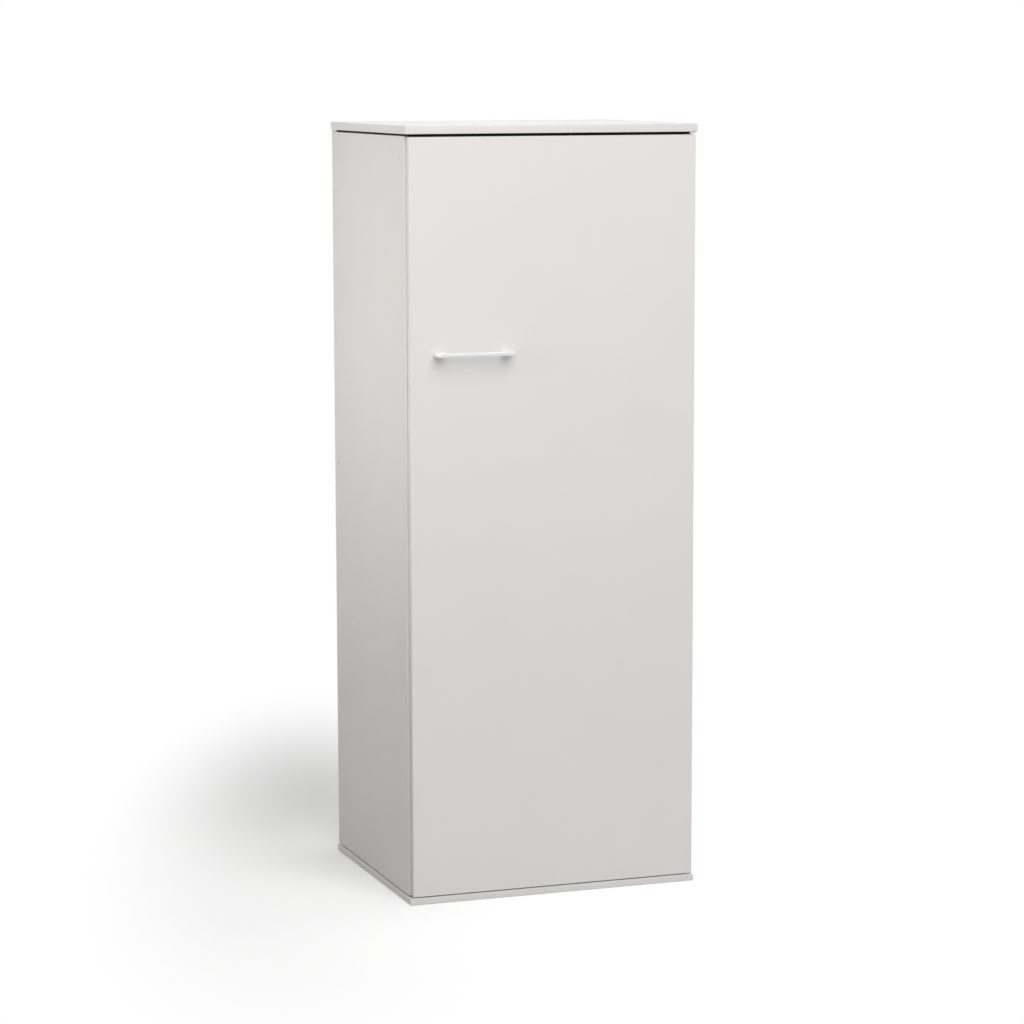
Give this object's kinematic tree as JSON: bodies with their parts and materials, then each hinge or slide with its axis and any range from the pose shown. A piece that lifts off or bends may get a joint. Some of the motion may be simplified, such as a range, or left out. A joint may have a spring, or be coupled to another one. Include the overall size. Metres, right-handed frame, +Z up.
{
  "type": "wardrobe",
  "caption": "Narrow white wardrobe with a full-overlay hinged door, bar handle, hat shelf and clothes rail, standing between a top panel and a base panel.",
  "frame": {"origin": "on the floor, under the middle of the whole outline, handle included", "axes": "+Z up, front and handle towards -Y, hinges on the +X side"},
  "size_m": [0.6, 0.528, 1.52],
  "materials": {
    "white_board": "white melamine-faced board, fine satin",
    "handle_white": "white lacquer, satin gloss",
    "spacer_black": "black, matt",
    "plug_white": "white, satin",
    "hinge_steel": "nickel plated",
    "screw_steel": "zinc plated",
    "rail_chrome": "chromed, polished",
    "bumper_clear": "clear silicone"
  },
  "bodies": {
    "carcass": {"top_panel": "white_board", "base_panel": "white_board", "side_left": "white_board", "side_right": "white_board", "carcass_top": "white_board", "carcass_bottom": "white_board", "back_panel": "white_board", "hat_shelf": "white_board", "top_spacer_front": "spacer_black", "top_spacer_rear": "spacer_black", "top_spacer_left": "spacer_black", "top_spacer_right": "spacer_black", "base_spacer_front": "spacer_black", "base_spacer_rear": "spacer_black", "base_spacer_left": "spacer_black", "base_spacer_right": "spacer_black", "top_pad_front_right": "plug_white", "top_pad_rear_left": "plug_white", "top_pad_rear_right": "plug_white", "hinge_arm_1": "hinge_steel", "hinge_arm_2": "hinge_steel", "hinge_arm_3": "hinge_steel", "hinge_plate_1": "hinge_steel", "hinge_plate_2": "hinge_steel", "hinge_plate_3": "hinge_steel", "clothes_rail": "rail_chrome", "rail_socket_left": "rail_chrome", "rail_socket_right": "rail_chrome", "shelf_pin_left_front": "hinge_steel", "shelf_pin_left_rear": "hinge_steel", "shelf_pin_right_front": "hinge_steel", "shelf_pin_right_rear": "hinge_steel", "back_screw_left_1": "screw_steel", "back_screw_left_2": "screw_steel", "back_screw_left_3": "screw_steel", "back_screw_right_1": "screw_steel", "back_screw_right_2": "screw_steel", "back_screw_right_3": "screw_steel", "hole_plug_left_1": "plug_white", "hole_plug_left_2": "plug_white", "hole_plug_left_3": "plug_white", "hole_plug_left_4": "plug_white", "hole_plug_right_1": "plug_white", "hole_plug_right_2": "plug_white", "hole_plug_right_3": "plug_white", "hole_plug_right_4": "plug_white", "door_bumper_upper": "bumper_clear", "door_bumper_lower": "bumper_clear"},
    "hinge_links": {"hinge_link_1": "hinge_steel", "hinge_link_2": "hinge_steel", "hinge_link_3": "hinge_steel"},
    "door": {"door": "white_board", "handle": "handle_white", "handle_screw_left": "screw_steel", "handle_screw_right": "screw_steel", "hinge_cup_1": "hinge_steel", "hinge_cup_2": "hinge_steel", "hinge_cup_3": "hinge_steel"}
  },
  "joints": [
    {"name": "link_swing", "type": "hinge", "parent": "carcass", "child": "hinge_links", "pos_m": [0.26353, -0.224, 0], "axis": [0, 0, 1], "range_deg": [-36.75, 0]},
    {"name": "door_swing", "type": "hinge", "parent": "hinge_links", "child": "door", "pos_m": [0.28547, -0.2205, 0], "axis": [0, 0, 1], "range_deg": [0, 147]}
  ],
  "couplings": [
    {"joint": "door_swing", "follows": "link_swing", "ratio": -4}
  ]
}
